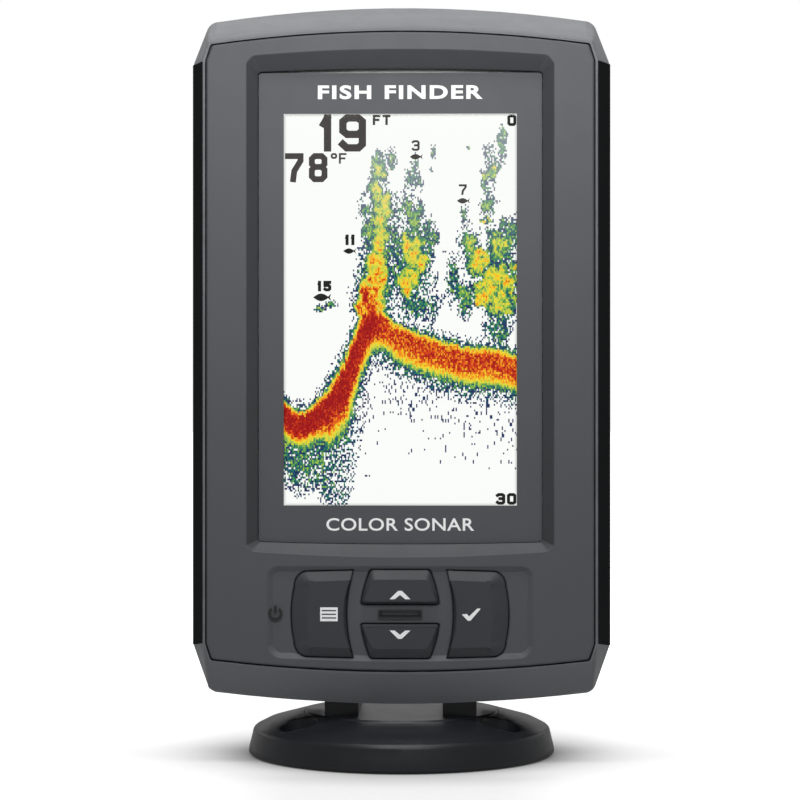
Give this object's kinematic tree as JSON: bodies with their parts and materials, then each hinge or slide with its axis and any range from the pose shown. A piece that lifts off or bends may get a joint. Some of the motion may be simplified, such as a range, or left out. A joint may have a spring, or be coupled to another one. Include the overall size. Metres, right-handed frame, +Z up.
{
  "type": "fish finder",
  "caption": "Bracket-mounted portrait fish finder: screen head with menu, arrow and check keys that lifts off a tilting shoe on a swivel base.",
  "frame": {"origin": "centre of the base's mounting face, on the swivel axis", "axes": "+Z up along the swivel axis, -Y the way the screen faces, +X the viewer's right"},
  "size_m": [0.1006, 0.074, 0.1799],
  "materials": {
    "case_grey": "fine satin texture",
    "bezel_grey": "fine satin texture",
    "grip_black": "smooth satin",
    "mount_black": "semi-gloss",
    "key_grey": "satin",
    "overlay_grey": "satin print",
    "lens_clear": "clear",
    "panel_white": "lit panel",
    "seal_rubber": "matte",
    "steel": "plated",
    "brass": "plated",
    "board_green": "solder mask",
    "chip_black": "moulded",
    "shield_tin": "tinned",
    "carrier_white": "moulded",
    "ribbon_amber": "film"
  },
  "bodies": {
    "base": {"base_plate": "mount_black", "swivel_wave_washer": "steel"},
    "yoke": {"swivel_yoke": "mount_black", "swivel_washer": "steel", "swivel_screw": "steel", "tilt_bolt": "steel", "tilt_nut": "steel", "friction_washers": "steel"},
    "shoe": {"mount_shoe": "mount_black"},
    "head": {"rear_housing": "case_grey", "front_bezel": "bezel_grey", "side_grip_left": "grip_black", "side_grip_right": "grip_black", "screen_overlay": "overlay_grey", "screen_lens": "lens_clear", "lens_gasket": "seal_rubber", "keypad_mat": "seal_rubber", "case_seal": "seal_rubber", "case_screws": "steel", "vent_plug": "seal_rubber", "detent_spring": "steel", "lcd_panel": "panel_white", "backlight": "panel_white", "lcd_carrier": "carrier_white", "display_ribbon": "ribbon_amber", "main_board": "board_green", "board_screws": "steel", "board_chips": "chip_black", "sonar_shield": "shield_tin", "beeper": "chip_black", "key_switches": "chip_black", "power_socket": "mount_black", "transducer_socket": "mount_black", "socket_nuts": "steel", "socket_gaskets": "seal_rubber", "socket_pins": "brass"},
    "key_menu": {"key_menu": "key_grey"},
    "key_up": {"key_up": "key_grey"},
    "key_down": {"key_down": "key_grey"},
    "key_check": {"key_check": "key_grey"}
  },
  "joints": [
    {"name": "swivel", "type": "hinge", "parent": "base", "child": "yoke", "pos_m": [0, 0, 0.008], "axis": [0, 0, 1], "continuous": true},
    {"name": "tilt", "type": "hinge", "parent": "yoke", "child": "shoe", "pos_m": [0, 0.008, 0.042], "axis": [-1, 0, 0], "range_deg": [-5, 25]},
    {"name": "head_lift", "type": "slide", "parent": "shoe", "child": "head", "axis": [0, 0, 1], "range_m": [0, 0.03]},
    {"name": "key_menu_press", "type": "slide", "parent": "head", "child": "key_menu", "axis": [0, 1, 0], "range_m": [0, 0.0008], "stiffness_N_per_m": 300},
    {"name": "key_up_press", "type": "slide", "parent": "head", "child": "key_up", "axis": [0, 1, 0], "range_m": [0, 0.0008], "stiffness_N_per_m": 300},
    {"name": "key_down_press", "type": "slide", "parent": "head", "child": "key_down", "axis": [0, 1, 0], "range_m": [0, 0.0008], "stiffness_N_per_m": 300},
    {"name": "key_check_press", "type": "slide", "parent": "head", "child": "key_check", "axis": [0, 1, 0], "range_m": [0, 0.0008], "stiffness_N_per_m": 300}
  ]
}
